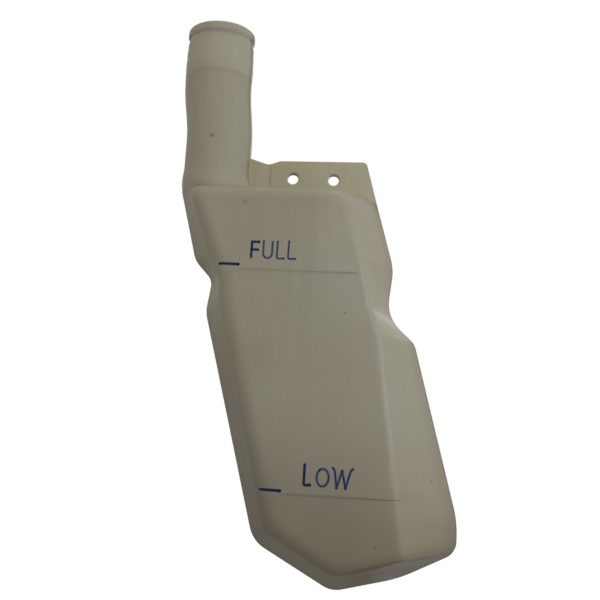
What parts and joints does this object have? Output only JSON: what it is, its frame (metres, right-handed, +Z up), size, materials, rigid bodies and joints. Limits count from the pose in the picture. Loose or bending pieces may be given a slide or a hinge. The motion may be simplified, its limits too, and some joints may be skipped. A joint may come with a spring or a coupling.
{
  "type": "coolant expansion tank",
  "caption": "Blow-moulded coolant expansion tank with a tall filler neck, a bolt flange and FULL and LOW level marks",
  "frame": {"origin": "Midway between the two bolt holes, on the back face of the flange, where the tank meets what it is fixed to", "axes": "+Z up along the filler neck's axis, +Y from the front panel to the back, into the vehicle, +X to the right seen from the front"},
  "size_m": [0.1768, 0.0593, 0.3347],
  "materials": {
    "aged_polyethylene": "semi-matte natural polyethylene, yellowed and slightly dirty"
  },
  "bodies": {
    "root": {"tank": "aged_polyethylene"}
  },
  "joints": []
}
